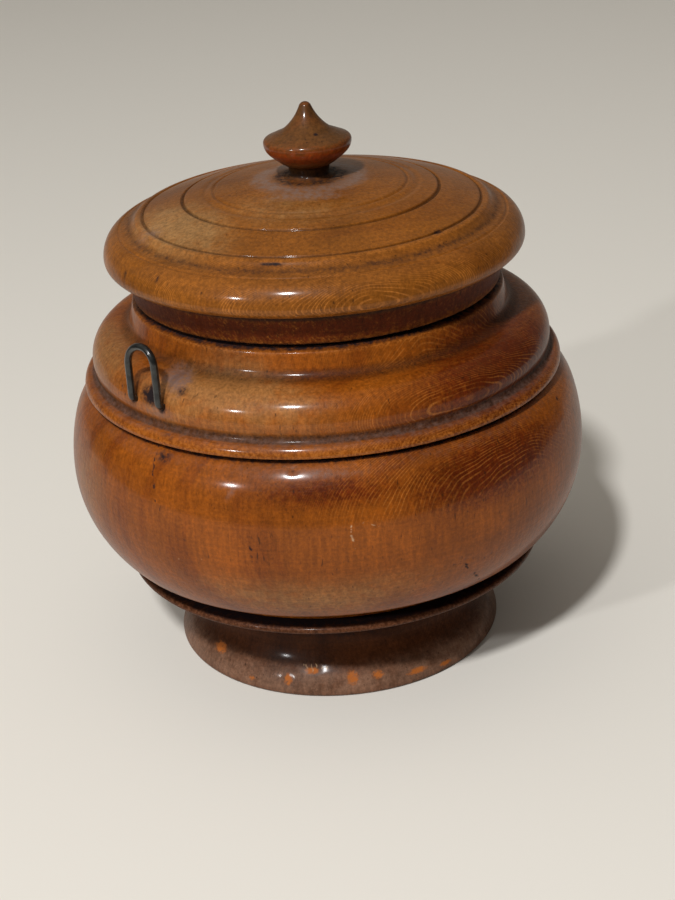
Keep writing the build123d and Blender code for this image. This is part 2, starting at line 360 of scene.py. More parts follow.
def seam_points(node):
    """The outline of a turned CAD node as (radius, height) in mm, and whether it is a closed ring."""
    bm = bmesh.new()
    bm.from_mesh(frame["nodes"][node].data)
    bmesh.ops.remove_doubles(bm, verts=bm.verts, dist=MERGE)
    off_seam = [e for e in bm.edges if any(abs(v.co.y) > SEAM or v.co.x < -SEAM for v in e.verts)]
    bmesh.ops.delete(bm, geom=off_seam, context="EDGES")
    bmesh.ops.delete(bm, geom=[v for v in bm.verts if not v.link_edges], context="VERTS")
    ends = [v for v in bm.verts if len(v.link_edges) == 1]
    first = vert = min(ends or bm.verts, key=lambda v: (v.co.z, v.co.x))
    points, came_by = [], None
    while vert is not None and not (points and vert == first):
        points.append((vert.co.x / MM, vert.co.z / MM))
        ways = [e for e in vert.link_edges if e != came_by]
        came_by = ways[0] if ways else None
        vert = came_by.other_vert(vert) if came_by else None
    bm.free()
    if ends:
        points = [(0.0, points[0][1])] + points + [(0.0, points[-1][1])]
        points = [p for i, p in enumerate(points) if i == 0 or math.dist(p, points[i - 1]) > SEAM / MM]
    return [Vector(p) for p in points], not ends


# %% Make an outline finer
# A sharper turn is a corner, and a run that is so many times longer than the next is straight
CORNER = math.radians(25)
LONG_RUN = 2.5
# Steps along the outline in mm, fine only where the surface faces away from the axis
FINE_STEP = 0.5
COARSE_STEP = 4.0
FACING_OUT = 0.02
# Of two points closer than this, one is dropped
FINEST = 0.12
# How far from a corner its round begins, in mm, and in how many steps it goes round
WORN_CORNER = 0.16
CORNER_CUTS = 3


def tangent_at(before, after):
    """The direction of a smooth outline where two of its runs meet. A long run is straight."""
    if before.length > LONG_RUN * after.length:
        return before.normalized()
    if after.length > LONG_RUN * before.length:
        return after.normalized()
    share = before.length / (before.length + after.length)
    return before.normalized().lerp(after.normalized(), share).normalized()


def bend(start, leaving, end, arriving, step):
    """Points every step on a smooth curve, without its last point."""
    reach = (end - start).length / 3
    cuts = math.ceil((end - start).length / step)
    curve = interpolate_bezier(start, start + leaving * reach, end - arriving * reach, end, cuts + 1)
    return [Vector(p[:2]) for p in curve[:-1]]


def finer(points, closed):
    """The outline with its curves filled in, and each sharp corner worn to a small round."""
    count = len(points)
    runs = [points[(i + 1) % count] - points[i] for i in range(count)]
    turns = [runs[i - 1].angle_signed(run) for i, run in enumerate(runs)]
    inside_is_left = -math.copysign(1, sum(turns))
    on_axis = () if closed else (0, count - 1)
    worn = [i not in on_axis and abs(turn) > CORNER for i, turn in enumerate(turns)]

    def heading(i, run):
        smooth = not worn[i] and i not in on_axis
        return tangent_at(runs[i - 1], runs[i]) if smooth else run.normalized()

    def trim(i, run):
        return run.normalized() * (min(WORN_CORNER, run.length / 3) if worn[i] else 0)

    fine = []
    for i, run in enumerate(runs if closed else runs[:-1]):
        j = (i + 1) % count
        faces_out = inside_is_left * run.y / run.length > FACING_OUT
        start, end = points[i] + trim(i, run), points[j] - trim(j, run)
        fine += bend(start, heading(i, run), end, heading(j, run), FINE_STEP if faces_out else COARSE_STEP)
        if worn[j]:
            after = runs[j]
            corner_step = 2 * WORN_CORNER / CORNER_CUTS
            fine += bend(end, run.normalized(), points[j] + trim(j, after), after.normalized(), corner_step)
    if not closed:
        fine.append(points[-1])
    kept = [fine[0]]
    for point in fine[1:]:
        if (point - kept[-1]).length > FINEST:
            kept.append(point)
    return kept


# %% [markdown]
# Old polish wears off edges, and dirt and painted shade darken the hollows. Both follow from
# the outline alone: the sum of its turns near a point is large and outward on an edge, and
# inward in a hollow.
# It is kept as two values on the points of the outline, which the spin copies to all rings.

# %% Spin an outline into a piece
# How near along the outline a turn counts, in mm, and the sum of turns that gives a full value
SHELTER_REACH = 1.6
FULL_SHELTER = 1.1
# Only a wedge is spun, and doubling it this often makes the full circle
DOUBLINGS = 3


def shelter(fine):
    """How much the outline turns near each point, in radians: outward on an edge, inward in a hollow."""
    places = np.array([p[:] for p in fine])
    runs = np.roll(places, -1, axis=0) - places
    lengths = np.linalg.norm(runs, axis=1)
    headings = np.arctan2(runs[:, 1], runs[:, 0])
    turns = (headings - np.roll(headings, 1) + math.pi) % (2 * math.pi) - math.pi
    along = np.cumsum(lengths) - lengths
    apart = np.abs(along[:, None] - along[None, :])
    apart = np.minimum(apart, lengths.sum() - apart)
    near = np.clip(1 - apart / SHELTER_REACH, 0, 1)
    return near @ turns * math.copysign(1, turns.sum())


def turned(node, name, steps):
    """A piece that replaces a turned CAD node: its outline made finer and spun about the Z axis."""
    points, closed = seam_points(node)
    fine = finer(points, closed)
    amounts = shelter(fine) / FULL_SHELTER
    bm = bmesh.new()
    hollow = bm.verts.layers.float.new("hollow")
    edge = bm.verts.layers.float.new("edge")
    verts = []
    for point, amount in zip(fine, amounts):
        vert = bm.verts.new((point.x * MM, 0, point.y * MM))
        vert[hollow] = min(1, max(0, -amount))
        vert[edge] = min(1, max(0, amount))
        verts.append(vert)
    pairs = zip(verts, verts[1:] + verts[:1]) if closed else zip(verts, verts[1:])
    edges = [bm.edges.new(pair) for pair in pairs]
    wedge = math.radians(360 / 2**DOUBLINGS)
    bmesh.ops.spin(
        bm, geom=verts + edges, cent=(0, 0, 0), axis=(0, 0, 1), angle=wedge, steps=steps // 2**DOUBLINGS
    )
    for _ in range(DOUBLINGS):
        copy = bmesh.ops.duplicate(bm, geom=bm.verts[:] + bm.edges[:] + bm.faces[:])["geom"]
        copied = [v for v in copy if isinstance(v, bmesh.types.BMVert)]
        bmesh.ops.rotate(bm, verts=copied, cent=(0, 0, 0), matrix=Matrix.Rotation(wedge, 3, "Z"))
        wedge *= 2
    for end in (fine[0], fine[-1]):
        pole = [v for v in bm.verts if v.co.xy.length < MERGE and abs(v.co.z - end.y * MM) < MERGE]
        bmesh.ops.pointmerge(bm, verts=pole, merge_co=(0, 0, end.y * MM))
    bmesh.ops.remove_doubles(bm, verts=bm.verts, dist=MERGE)
    bmesh.ops.recalc_face_normals(bm, faces=bm.faces)
    piece = as_piece(bm, name)
    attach(piece, frame["nodes"][node]["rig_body"])
    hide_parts(node)
    return piece


def as_piece(bm, name):
    """An object at the origin with the bmesh as its smooth mesh."""
    mesh = bpy.data.meshes.new(name)
    bm.to_mesh(mesh)
    open_edges = sum(1 for e in bm.edges if not e.is_manifold)
    bm.free()
    mesh.shade_smooth()
    piece = bpy.data.objects.new(name, mesh)
    bpy.context.scene.collection.objects.link(piece)
    print(name, "has", len(mesh.polygons), "faces and", open_edges, "open edges")
    return piece


pieces = {
    "foot": turned("foot", "turned_foot", 520),
    "bowl": turned("bowl", "turned_bowl", 500),
    "shoulder": turned("shoulder_ring", "turned_shoulder", 520),
    "lid": turned("lid", "turned_lid", 420),
    "knob": turned("knob", "turned_knob", 240),
}


# %% [markdown]
# The loop is one staple of round iron wire, bent by hand over a peg and pushed into two
# holes. A curve with a round bevel could make it, but a smith works in straight runs and
# turns, and bmesh can do the same: a ring of points is extruded along each straight run
# and spun through each bend. Then the wire is made a little uneven, as drawn wire is.

# %% Bend the wire
WIRE_RADIUS = 0.8
WIRE_SIDES = 20
WIRE_STEP = 0.3
LEGS_IN_WOOD = 4.0
LEG_BEND = 1.3
STRAIGHT_LEG = (6.5, 8.5)
ARCH_RADII = (5.3, 3.3)
LOOP_STANDOFF = 53.5
LOOP_LEG_HEIGHT = 75.5
LOOP_HALF_WIDTH = 4.3
LOOP_LEFT_OF_FRONT = 45.4
# Slow waves and small flats: how quickly they change along the wire, and their depth in mm
WAVE_PER_MM, WAVE_DEPTH = 0.16, 0.16
FLATS_PER_MM, FLATS_DEPTH = 0.9, 0.035
# Without a seed the waves would differ in each run, because the clock would set them
WAVE_SEED = 1


class WireBender:
    """A ring of points that leaves a tube behind it as it moves. Lengths are in mm."""

    def __init__(self, start, heading):
        self.bm = bmesh.new()
        self.place, self.heading = Vector(start), Vector(heading)
        turn = self.heading.to_track_quat("Z", "Y").to_matrix().to_4x4()
        circle = bmesh.ops.create_circle(
            self.bm,
            cap_ends=True,
            segments=WIRE_SIDES,
            radius=WIRE_RADIUS,
            matrix=Matrix.Translation(start) @ turn,
        )
        self.ring = circle["verts"] + self.bm.edges[:]

    def run(self, length):
        """Straight on."""
        for _ in range(round(length / WIRE_STEP)):
            edges = [e for e in self.ring if isinstance(e, bmesh.types.BMEdge)]
            self.ring = bmesh.ops.extrude_edge_only(self.bm, edges=edges)["geom"]
            verts = [v for v in self.ring if isinstance(v, bmesh.types.BMVert)]
            bmesh.ops.translate(self.bm, verts=verts, vec=self.heading * WIRE_STEP)
        self.place += self.heading * (round(length / WIRE_STEP) * WIRE_STEP)

    def turn(self, towards, radius):
        """A quarter turn to the direction towards."""
        towards = Vector(towards)
        centre = self.place + towards * radius
        self.ring = bmesh.ops.spin(
            self.bm,
            geom=[g for g in self.ring if not isinstance(g, bmesh.types.BMFace)],
            cent=centre,
            axis=self.heading.cross(towards),
            angle=math.radians(90),
            steps=math.ceil(radius * math.radians(90) / WIRE_STEP),
        )["geom_last"]
        self.place = centre + self.heading * radius
        self.heading = towards

    def close(self):
        bmesh.ops.edgeloop_fill(self.bm, edges=[e for e in self.ring if isinstance(e, bmesh.types.BMEdge)])
        bmesh.ops.recalc_face_normals(self.bm, faces=self.bm.faces)


def bent_wire():
    """The staple as a bmesh in mm: X points away from the axis of the canister."""
    outward, across, up = Vector((1, 0, 0)), Vector((0, 1, 0)), Vector((0, 0, 1))
    hole = LOOP_STANDOFF - LEG_BEND - LEGS_IN_WOOD
    bender = WireBender((hole, -LOOP_HALF_WIDTH, LOOP_LEG_HEIGHT), outward)
    bender.run(LEGS_IN_WOOD)
    bender.turn(up, LEG_BEND)
    bender.run(STRAIGHT_LEG[0])
    bender.turn(across, ARCH_RADII[0])
    bender.turn(-up, ARCH_RADII[1])
    bender.run(STRAIGHT_LEG[1])
    bender.turn(-outward, LEG_BEND)
    bender.run(LEGS_IN_WOOD)
    bender.close()
    return bender.bm


def make_wire_loop():
    noise.seed_set(WAVE_SEED)
    bm = bent_wire()
    bm.normal_update()
    for vert in bm.verts:
        free = min(1, max(0, (vert.co.z - LOOP_LEG_HEIGHT - LEG_BEND) / LEG_BEND))
        wave = noise.noise_vector(vert.co * WAVE_PER_MM) * WAVE_DEPTH
        flats = noise.noise(vert.co * FLATS_PER_MM) * FLATS_DEPTH
        vert.co += (wave + vert.normal * flats) * free
    bmesh.ops.scale(bm, verts=bm.verts, vec=(MM, MM, MM))
    turn = Matrix.Rotation(math.radians(-90 - LOOP_LEFT_OF_FRONT), 3, "Z")
    bmesh.ops.rotate(bm, verts=bm.verts, cent=(0, 0, 0), matrix=turn)
    loop = as_piece(bm, "bent_wire_loop")
    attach(loop, "body")
    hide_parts("wire_loop")
    return loop


pieces["loop"] = make_wire_loop()

# %% [markdown]
# Marks are painted into the meshes as more values for each point: stain for what has soaked
# in dark and for painted shade in gaps, recesses and cast shadows, scuff for bare wood, grime
# for a dull grey film and for a painted sheen round highlights, redness for patches of darker
# wood and for painted shade on the collar and on the side away from the lamps, faded for pale
# dry polish and for painted sheen and reflections, and matt for polish that has lost its
# gloss. A mark is a belt that goes all round between two heights, or an oval on the surface
# at a real place: degrees right of the front, distance from the axis and height in
# millimetres, then how wide and how high it is, and how far it leans. A dent or a chip
# moves the points of its oval inward.

# %% Helpers for marks
LAYERS = ("stain_and_shade", "scuff", "grime_and_sheen", "redness_and_shade", "faded_and_sheen", "matt")


def rows(items, field):
    """One vector of every item of a mesh, as an array with a row for each."""
    flat = np.empty(len(items) * 3, np.float32)
    items.foreach_get(field, flat)
    return flat.reshape(-1, 3)


def rounded(ramp):
    """A ramp kept between 0 and 1, with both its ends made smooth."""
    ramp = np.clip(ramp, 0, 1)
    return ramp * ramp * (3 - 2 * ramp)


class Surface:
    """The points of a piece in millimetres, and the marks on them."""

    def __init__(self, piece):
        self.mesh = piece.data
        self.places = rows(self.mesh.vertices, "co") / MM
        self.normals = rows(self.mesh.vertex_normals, "vector")
        self.layers = {name: np.zeros(len(self.places), np.float32) for name in LAYERS}

    def oval(self, azimuth, radius, height, wide, high, lean=0.0):
        """1 in the middle of an oval on the surface, 0 outside it. lean tips its top to the right."""
        side = math.radians(azimuth)
        aim = np.array((radius * math.sin(side), -radius * math.cos(side), height))
        nearest = np.argmin(((self.places - aim) ** 2).sum(axis=1))
        away, normal = self.places - self.places[nearest], self.normals[nearest]
        right = np.cross((0, 0, 1), normal)
        right /= np.linalg.norm(right)
        up = np.cross(normal, right)
        lean = math.radians(lean)
        across = away @ (right * math.cos(lean) - up * math.sin(lean)) / (wide / 2)
        along = away @ (right * math.sin(lean) + up * math.cos(lean)) / (high / 2)
        through = away @ normal / max(wide, high)
        return rounded(1 - np.sqrt(across**2 + along**2 + through**2))

    def add(self, layer, values):
        """Marks of one layer don't add up: the strongest counts."""
        self.layers[layer] = np.maximum(self.layers[layer], values)

    def paint(self, layer, strength, *oval):
        self.add(layer, strength * self.oval(*oval))

    def belt(self, layer, strength, low, high):
        middle, half = (low + high) / 2, (high - low) / 2
        self.add(layer, strength * rounded(1 - np.abs(self.places[:, 2] - middle) / half))

    def carve(self, depth, *oval):
        self.places -= self.normals * (depth * self.oval(*oval))[:, None]

    def keep(self):
        """Writes the moved points and the marks back to the mesh."""
        self.mesh.vertices.foreach_set("co", (self.places * MM).ravel())
        for name, values in self.layers.items():
            self.mesh.attributes.new(name, "FLOAT", "POINT").data.foreach_set("value", values)
        self.mesh.update()
        print(self.mesh.name, "is marked with", ", ".join(n for n, v in self.layers.items() if v.any()))


# %% [markdown]
# The bowl took the most knocks. Its wood is redder under the shoulder at the front and on
# the right. It is paler low down at the front, as a painted reflection of the pale floor, and
# on the left, as a painted sheen. Dirt and painted shade darken the slit under the flange and
# the recess over the foot, a grey film that is partly a painted sheen round the highlights
# lies under the flange, and the polish is scuffed through at a few places.

# %% Marks on the bowl
bowl = Surface(pieces["bowl"])
# Redder wood, then paler ovals: a painted reflection of the floor low at the front,
# and a painted sheen on the left
bowl.paint("redness_and_shade", 1.3, 38, 57.3, 60.0, 80.0, 27.0)
bowl.paint("redness_and_shade", 1.0, 0, 57.0, 61.5, 60.0, 13.0)
bowl.paint("faded_and_sheen", 0.9, -5, 57.5, 36.0, 90.0, 24.0)
bowl.paint("faded_and_sheen", 0.6, -66, 59.0, 52.0, 46.0, 40.0)
# Dirt and painted shade in the slit under the flange and in the recess over the foot,
# then a grey film that is partly a painted sheen round the highlights
bowl.belt("stain_and_shade", 1.0, 65.9, 69.0)
bowl.belt("stain_and_shade", 1.0, 24.0, 31.0)
bowl.belt("grime_and_sheen", 0.4, 62.0, 69.5)
bowl.paint("grime_and_sheen", 0.7, -21, 57.3, 61.3, 9.0, 4.0, -60)
bowl.paint("grime_and_sheen", 0.7, -2, 55.6, 65.4, 46.0, 5.0)
# Dark spots, the first and largest at the top of the long crack
bowl.paint("stain_and_shade", 0.75, -39.5, 55.6, 65.5, 9.0, 6.0)
bowl.paint("stain_and_shade", 0.7, -8, 55.4, 66.0, 3.0, 3.0)
bowl.paint("stain_and_shade", 0.5, -44, 59.9, 49.7, 2.6, 2.2)
bowl.paint("stain_and_shade", 0.45, -32, 59.9, 49.8, 3.4, 6.0, -25)
bowl.paint("stain_and_shade", 0.7, 35, 58.7, 39.7, 2.8, 2.2)
bowl.paint("stain_and_shade", 0.9, 65, 56.2, 63.9, 2.6, 2.2)
# Scuffs through the polish
bowl.paint("scuff", 0.6, -28, 59.8, 45.9, 1.8, 1.8)
bowl.paint("scuff", 0.6, -34, 59.7, 44.2, 1.8, 1.8)
bowl.paint("scuff", 0.6, 6, 59.5, 55.0, 1.8, 1.6)
bowl.paint("scuff", 0.55, 1, 59.6, 52.0, 1.6, 1.6)
# Dents
bowl.carve(0.15, -8, 55.4, 66.0, 3.0, 3.0)
bowl.carve(0.30, -40, 55.8, 65.5, 3.0, 3.0)
bowl.carve(0.25, 28, 58.9, 40.3, 3.0, 1.6, 40)
bowl.keep()

# %% [markdown]
# On the shoulder a grey film lies in the cove over the flange, and rust and old polish
# have stained the wood round the feet of the wire. To their right, a dark patch is partly
# rust and partly a painted shadow of the wire, the grey film in it is partly a painted
# highlight, and below them lies a painted shadow under the flange. The mouth is darkened
# as painted shade under the lid. The right side is darker red, partly as painted shade,
# and the left side is paler as a painted sheen and highlight.

# %% Marks on the shoulder
shoulder = Surface(pieces["shoulder"])
# Redder wood and painted shade on the right, painted sheen and highlight on the left
shoulder.paint("redness_and_shade", 1.4, 52, 50.0, 79.0, 100.0, 44.0)
shoulder.paint("redness_and_shade", 0.7, 0, 45.0, 83.0, 60.0, 8.0)
shoulder.paint("faded_and_sheen", 1.3, -26, 48.0, 80.0, 76.0, 24.0)
shoulder.paint("faded_and_sheen", 1.1, -75, 50.0, 79.0, 60.0, 24.0)
# Painted shade in the gap at the mouth, and a grey film in the cove
shoulder.belt("stain_and_shade", 1.0, 86.0, 89.0)
shoulder.belt("grime_and_sheen", 0.6, 68.6, 73.4)
# Round the wire: a film that is partly a painted highlight, rust stains, a dark patch that
# is partly the wire's painted shadow, and a painted shadow under the flange
shoulder.paint("grime_and_sheen", 1.15, -40.5, 48.0, 80.9, 19.0, 13.0, 35)
shoulder.paint("grime_and_sheen", 0.8, -42.0, 52.7, 74.5, 20.0, 8.0)
shoulder.paint("stain_and_shade", 1.1, -45.3, 52.0, 77.4, 11.0, 9.0)
shoulder.paint("stain_and_shade", 0.85, -51.5, 52.5, 74.9, 4.0, 3.8)
shoulder.paint("stain_and_shade", 0.95, -41.0, 52.5, 75.0, 5.0, 4.4)
shoulder.paint("stain_and_shade", 0.85, -36.3, 50.2, 79.4, 5.5, 4.6)
shoulder.paint("stain_and_shade", 0.5, -38.0, 54.5, 70.0, 10.0, 5.0)
shoulder.paint("stain_and_shade", 0.8, -56.7, 52.2, 76.2, 1.6, 1.6)
shoulder.paint("stain_and_shade", 0.8, -54.6, 52.5, 75.2, 1.6, 1.6)
# Dents on both sides of the wire
shoulder.carve(0.3, -36.3, 50.2, 79.4, 2.5, 2.5)
shoulder.carve(0.35, -56.7, 52.2, 76.2, 1.5, 1.5)
shoulder.keep()

# %% [markdown]
# The lid is dirtiest round the knob, where no cloth reaches, and darker along its cove. The
# film in front of the knob is partly a painted sheen. One streak of ink and a few dark spots
# lie on the cove and the rim. Its collar is painted dark red, partly as the shade under the
# rim, is darkened as painted shade in the gap above the shoulder, and has lost its gloss.
# The top is paler on the left as a painted reflection.

# %% Marks on the lid
lid = Surface(pieces["lid"])
# The collar: dark red, partly as painted shade under the rim, matt, and painted shade in the gap
lid.belt("redness_and_shade", 1.2, 84.0, 99.0)
lid.belt("matt", 1.4, 84.0, 98.0)
lid.belt("stain_and_shade", 1.0, 86.0, 89.2)
# Darker along the cove, and dark dirt at the joint round the knob
lid.belt("stain_and_shade", 0.5, 102.6, 105.2)
lid.belt("stain_and_shade", 0.85, 111.75, 112.7)
lid.belt("grime_and_sheen", 0.9, 111.2, 112.4)
# Paler on the top, on the left as a painted reflection, and redder wood at the left of the rim
lid.paint("faded_and_sheen", 1.2, -60, 33.0, 107.4, 60.0, 30.0)
lid.paint("faded_and_sheen", 0.6, -15, 20.0, 110.5, 60.0, 30.0)
lid.paint("redness_and_shade", 0.5, -62, 50.0, 97.5, 40.0, 9.0)
# A film in front of the knob that is partly a painted sheen, and a film in the cove
lid.paint("grime_and_sheen", 0.95, -4, 13.0, 111.6, 34.0, 13.0)
lid.paint("grime_and_sheen", 0.7, -67, 38.4, 105.6, 18.0, 6.0)
# The streak of ink and the dark spots
lid.paint("stain_and_shade", 1.0, -13, 39.3, 104.6, 10.0, 1.6)
lid.paint("stain_and_shade", 0.75, 43, 37.9, 105.9, 5.5, 3.2)
lid.paint("stain_and_shade", 0.7, -85, 33.2, 107.3, 1.4, 4.5, 35)
lid.paint("stain_and_shade", 0.65, -60, 47.0, 99.7, 4.0, 4.4)
lid.paint("stain_and_shade", 0.65, -46, 46.2, 101.1, 3.4, 4.4)
# A dent in the largest spot
lid.carve(0.3, 43, 37.9, 105.9, 3.0, 2.0)
lid.keep()

# %% [markdown]
# Fingers have kept the round side of the knob glossy and red. Its top is brown and its tip
# is dark, and its foot is darkened as painted shade under its disc. The foot of the canister
# is darker above, with old dirt and with painted shade where the belly's shadow falls, and
# paler low down, with wear and with painted light where the lamp reaches it. Its recess under
# the belly is darkened as painted shade, and it has chips of bare wood.

# %% Marks on the knob and the foot
knob = Surface(pieces["knob"])
knob.belt("redness_and_shade", 1.0, 114.5, 122.0)
knob.belt("matt", 1.0, 109.0, 115.4)
# Painted shade under the knob's disc
knob.belt("stain_and_shade", 0.55, 109.0, 115.4)
knob.belt("stain_and_shade", 0.42, 122.5, 133.0)
knob.paint("stain_and_shade", 0.85, 20, 5.6, 122.2, 2.6, 2.0)
knob.paint("stain_and_shade", 0.5, 30, 2.4, 126.0, 3.0, 5.0)
knob.keep()

CHIP_STRENGTH = 0.95
CHIP_DEPTH = 0.12
FOOT_CHIPS = [
    # the oval of each chip, from left to right
    (-52, 36.6, 5.4, 9.0, 5.5),
    (-34, 38.4, 2.4, 3.6, 2.4),
    (-20, 37.8, 3.6, 4.0, 6.0),
    (-12, 36.5, 5.4, 7.0, 3.6),
    (3, 37.7, 3.9, 6.0, 7.0),
    (12, 37.7, 3.8, 6.0, 4.0),
    (26, 38.3, 2.6, 12.0, 3.0),
    (38, 38.6, 1.8, 8.0, 2.4),
]
foot = Surface(pieces["foot"])
for chip in FOOT_CHIPS:
    foot.paint("scuff", CHIP_STRENGTH, *chip)
    foot.carve(CHIP_DEPTH, *chip)
# Paler low down: wear, and painted light on the band that the lamp reaches
foot.belt("faded_and_sheen", 1.0, -5.0, 9.5)
# Dull and darker above: old dirt, and painted shade where the belly's shadow falls
foot.belt("matt", 1.5, 6.5, 27.0)
foot.belt("stain_and_shade", 0.8, 8.0, 24.5)
# Painted shade in the recess under the belly
foot.belt("stain_and_shade", 1.0, 23.9, 26.1)
foot.keep()

# %% [markdown]
# The wood is close-grained and was turned with its fibres upright. In a log the growth
# rings are thin sheets round the pith, so they are worked out here in the solid, from the
# distance to a pith line that lies behind the piece, and every cut through the wood then
# shows them in the right shape: level loops where the surface lies along the rings, upright
# threads where it cuts across them. Painted stripes would not follow the turned shape.

# %% Growth rings
PITH_DISTANCE = 90.0
RING_SPACING = 0.29
RING_WANDERS = [
    # (scale across and along the log, how far in mm): a slow bend and a fast ripple
    ((0.03, 0.03, 0.016), 7.0),
    ((0.16, 0.16, 0.09), 0.45),
]
# How far the rings are pushed together and apart, in radians of the wave that draws them
UNEVEN_SPACING = 16.0
# A line shows where that wave is over this level
LINE_STARTS = 0.35
# What is left of a line where each of these is against it
LEAST_LINE = {"patches": 0.25, "breaks": 0.15, "across": 0.12, "faded_and_sheen": 0.10}


class Log:
    """Where the shaded point lies in the log that the piece was turned from, in mm."""

    def __init__(self, recipe, place, rings_face):
        side = math.radians(rings_face)
        outward = Vector((math.sin(side), -math.cos(side), 0))
        across = Vector((math.cos(side), math.sin(side), 0))
        grown = place
        for scale, amount in RING_WANDERS:
            drift = recipe.wander(recipe.vector("MULTIPLY", place, scale), 1.0, amount)
            grown = recipe.vector("ADD", grown, drift)
        from_pith = recipe.vector("ADD", grown, outward * PITH_DISTANCE)
        level = recipe.vector("MULTIPLY", from_pith, (1, 1, 0))
        self.age = recipe.math("SUBTRACT", recipe.vector("LENGTH", level), PITH_DISTANCE)
        self.up = recipe.vector("DOT_PRODUCT", place, (0, 0, 1))
        sideways = recipe.vector("DOT_PRODUCT", place, across)
        self.place = recipe.node("CombineXYZ", {0: self.age, 1: sideways, 2: self.up}).outputs[0]
        self.radial = recipe.vector("MULTIPLY", place, (1, 1, 0))
        facing = recipe.vector("DOT_PRODUCT", recipe.vector("NORMALIZE", self.radial), outward)
        self.facing = recipe.math("ABSOLUTE", facing)


def ring_lines(recipe, log, facing, fades):
    """Thin pale lines, one to a ring, strongest where the surface lies along the rings."""
    uneven = recipe.grain(log.place, (0.5, 0.03, 0.02))
    turns = recipe.math("MULTIPLY", log.age, 2 * math.pi / RING_SPACING)
    phase = recipe.math("MULTIPLY_ADD", uneven, UNEVEN_SPACING, turns)
    lines = recipe.step(recipe.math("SINE", phase), LINE_STARTS, 1.0)
    patches = recipe.grain(log.place, (0.25, 0.07, 0.07), 3.0)
    breaks = recipe.grain(log.place, (1.6, 0.28, 0.20))
    for strength in (
        recipe.step(patches, 0.36, 0.60, LEAST_LINE["patches"], 1.0),
        recipe.step(breaks, 0.36, 0.54, LEAST_LINE["breaks"], 1.0),
        recipe.step(log.facing, *facing, LEAST_LINE["across"], 1.0),
        recipe.step(log.up, *fades, LEAST_LINE["faded_and_sheen"], 1.0),
    ):
        lines = recipe.math("MULTIPLY", lines, strength)
    return lines


# %% [markdown]
# All four woods share one recipe with three steps. First the wood grows: broad bands of
# orange and red, pale ring lines and upright fibres. Then it ages: dirt and painted shade
# darken the hollows, the edges wear, and the painted marks, scratches and cracks come last.
# Some of these marks are painted shade and sheen. Noise breaks up the edge of every mark,
# because nothing on old wood ends in a clean line. The polish is old wax: a faint wide gloss
# from the wood itself, and a thin clear coat that gives the sharp highlights, over a surface
# that is finely rubbed, grained and pitted.

# %% A recipe for old wood
# Dark for real stains and ink, and for painted shade in gaps, recesses and cast shadows
STAIN_AND_SHADE_INK = rgb(0.014, 0.009, 0.010)
# A dull grey film of dirt, and a painted sheen round highlights
GREY_FILM_AND_SHEEN = rgb(0.165, 0.095, 0.075)
# Pale dry polish, and painted sheen and reflections
FADED_AND_SHEEN = rgb(0.25, 0.105, 0.030)
# Bare wood of scuffs and scores, and on the foot partly painted glints
BARE_WOOD_AND_GLINT = rgb(0.42, 0.26, 0.14)
# Near black: dirt and painted shade in hollows, and dark pores
DIRT_AND_SHADE_BLACK = rgb(0.012, 0.005, 0.002)
NOISE_RANGE = (0.3, 0.7)
RAGGEDNESS = 1.9
SCORE_WIDTH, CRACK_WIDTH = 0.4, 0.5
CLEAN_ROUGHNESS, DULL_ROUGHNESS = 0.42, 0.62
COAT_ROUGHNESS = 0.13
GLOSS_LOST = 0.9


